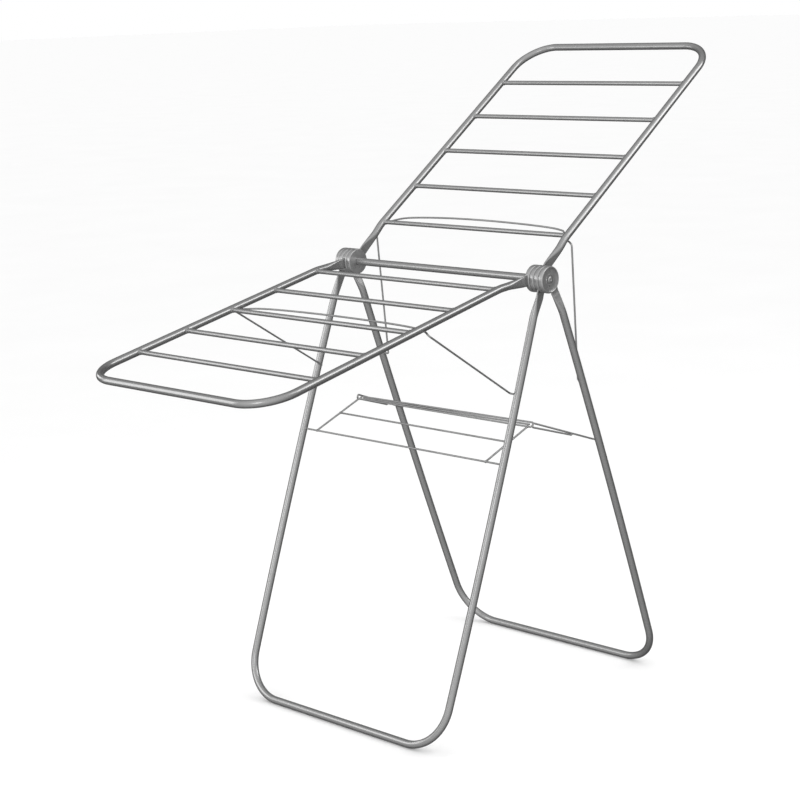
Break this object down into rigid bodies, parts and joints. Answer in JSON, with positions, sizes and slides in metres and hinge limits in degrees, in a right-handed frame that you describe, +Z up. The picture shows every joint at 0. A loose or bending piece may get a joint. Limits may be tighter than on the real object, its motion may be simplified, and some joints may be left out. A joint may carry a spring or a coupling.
{
  "type": "clothes drying rack",
  "caption": "Folding gullwing clothes drying rack: two bent tube leg frames and two winged hanging frames on one axis, held up by wire supports, with a folding wire shelf.",
  "frame": {"origin": "on the floor, straight below the middle of the hinge axis", "axes": "+X along the hinge axis to the right-hand hub, -Y towards the front (lower) wing, +Y towards the rear (raised) wing, +Z up"},
  "size_m": [0.623, 1.3787, 1.3748],
  "materials": {
    "tube_steel": "glossy silver-grey coating on steel tube",
    "wire_steel": "satin grey coating on steel wire",
    "hub_plastic": "satin grey moulded plastic",
    "bright_steel": "bright rivet steel"
  },
  "bodies": {
    "front_frame": {"front_leg_frame": "tube_steel", "left_disc_front_leg": "hub_plastic", "right_disc_front_leg": "hub_plastic", "top_tube": "tube_steel", "left_axle": "bright_steel", "right_axle": "bright_steel", "left_rivet": "bright_steel", "right_rivet": "bright_steel"},
    "rear_legs": {"rear_leg_frame": "tube_steel", "left_disc_rear_leg": "hub_plastic", "right_disc_rear_leg": "hub_plastic"},
    "front_wing": {"front_wing_frame": "tube_steel", "front_rung_1": "tube_steel", "front_rung_2": "tube_steel", "front_rung_3": "tube_steel", "front_rung_4": "tube_steel", "front_rung_5": "tube_steel", "left_disc_front_wing": "hub_plastic", "right_disc_front_wing": "hub_plastic"},
    "rear_wing": {"rear_wing_frame": "tube_steel", "rear_rung_1": "tube_steel", "rear_rung_2": "tube_steel", "rear_rung_3": "tube_steel", "rear_rung_4": "tube_steel", "rear_rung_5": "tube_steel", "left_disc_rear_wing": "hub_plastic", "right_disc_rear_wing": "hub_plastic"},
    "front_support": {"front_support_wire": "wire_steel"},
    "rear_support": {"rear_support_wire": "wire_steel"},
    "shelf": {"shelf_hinge_rod": "wire_steel", "shelf_side_left": "wire_steel", "shelf_side_right": "wire_steel", "shelf_middle_wire": "wire_steel", "shelf_back_wire": "wire_steel", "shelf_rail": "wire_steel"},
    "shelf_links": {"left_link": "wire_steel", "right_link": "wire_steel"}
  },
  "joints": [
    {"name": "leg_fold", "type": "hinge", "parent": "front_frame", "child": "rear_legs", "pos_m": [0, 0, 0.9235], "axis": [1, 0, 0], "range_deg": [-35.5, 0]},
    {"name": "front_wing_fold", "type": "hinge", "parent": "front_frame", "child": "front_wing", "pos_m": [0, 0, 0.9235], "axis": [1, 0, 0], "range_deg": [0, 53.5]},
    {"name": "rear_wing_fold", "type": "hinge", "parent": "rear_legs", "child": "rear_wing", "pos_m": [0, 0, 0.9235], "axis": [1, 0, 0], "range_deg": [-101, 0]},
    {"name": "front_support_swing", "type": "hinge", "parent": "front_frame", "child": "front_support", "pos_m": [0, -0.0877, 0.6988], "axis": [1, 0, 0], "range_deg": [0, 98]},
    {"name": "rear_support_swing", "type": "hinge", "parent": "rear_legs", "child": "rear_support", "pos_m": [0, 0.09228, 0.70052], "axis": [1, 0, 0], "range_deg": [-156.65, 0]},
    {"name": "shelf_tilt", "type": "hinge", "parent": "front_frame", "child": "shelf", "pos_m": [0, -0.13918, 0.56292], "axis": [1, 0, 0], "range_deg": [0, 45.54]},
    {"name": "link_swing", "type": "hinge", "parent": "rear_legs", "child": "shelf_links", "pos_m": [0, 0.14348, 0.56453], "axis": [1, 0, 0], "range_deg": [-45.54, 0]}
  ],
  "couplings": [
    {"joint": "front_support_swing", "follows": "front_wing_fold", "ratio": 1.83},
    {"joint": "rear_support_swing", "follows": "rear_wing_fold", "ratio": 1.55},
    {"joint": "shelf_tilt", "follows": "leg_fold", "ratio": -1.28},
    {"joint": "link_swing", "follows": "leg_fold", "ratio": 1.28}
  ]
}
